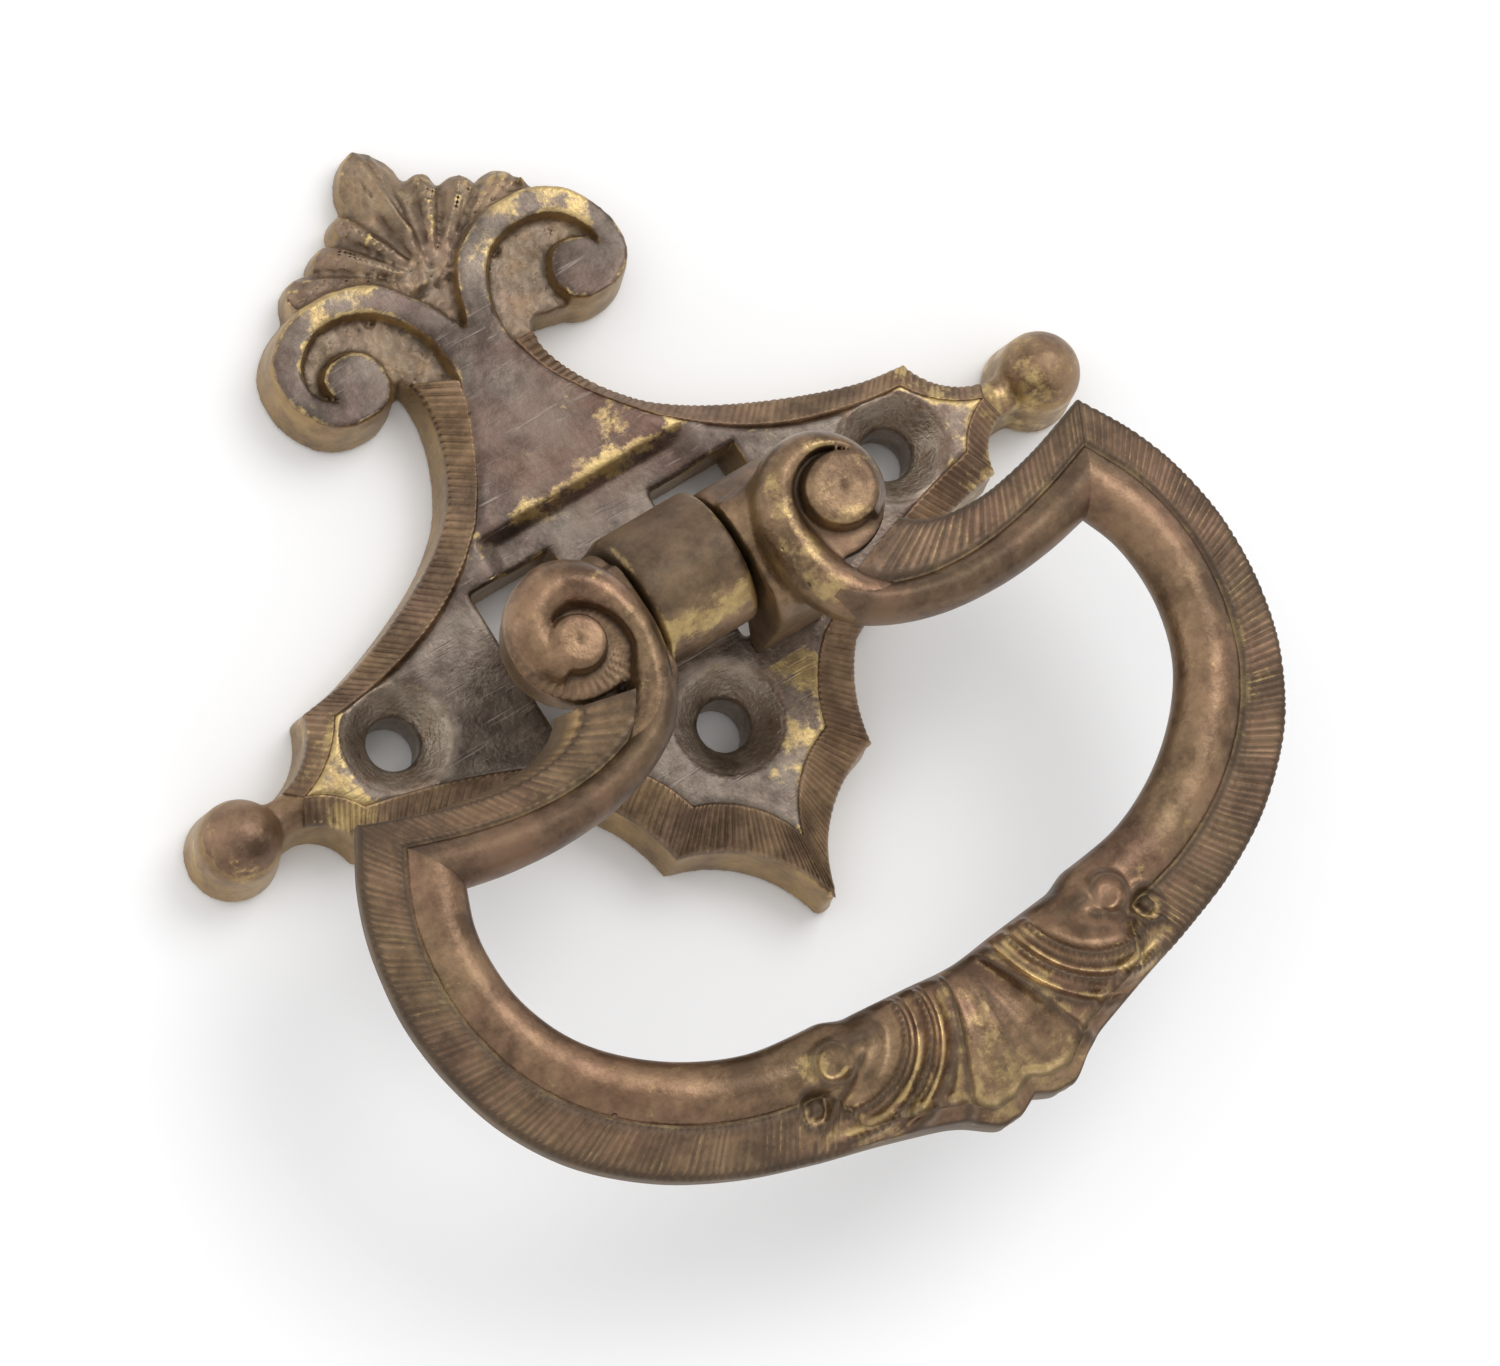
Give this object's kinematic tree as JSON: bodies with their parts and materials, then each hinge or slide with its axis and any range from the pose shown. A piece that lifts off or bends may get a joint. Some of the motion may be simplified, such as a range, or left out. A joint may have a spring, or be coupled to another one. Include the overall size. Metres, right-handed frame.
{
  "type": "door knocker",
  "caption": "Cast door knocker: scrolled backplate with a leaf crest and a hinge knuckle, and a mitred ring bail with scroll heads that swings on a pin.",
  "frame": {"origin": "on the back face that lies against the door, straight under the middle of the hinge axis", "axes": "+Z out of the door, +Y up the door towards the leaf crest, +X to the right seen from the front; the hinge axis runs along X"},
  "size_m": [0.114, 0.1263, 0.0319],
  "materials": {
    "plate_bronze": "aged cast bronze, dark patina worn to gold on the edges",
    "bail_bronze": "aged cast bronze, rubbed to gold on the hatched ridges",
    "pin_steel": "dark, tarnished, peened ends"
  },
  "bodies": {
    "plate": {"backplate": "plate_bronze"},
    "knocker": {"bail": "bail_bronze", "hinge_pin": "pin_steel"}
  },
  "joints": [
    {"name": "bail_hinge", "type": "hinge", "parent": "plate", "child": "knocker", "pos_m": [0, 0, 0.0183], "axis": [-1, 0, 0], "range_deg": [0, 100]}
  ]
}
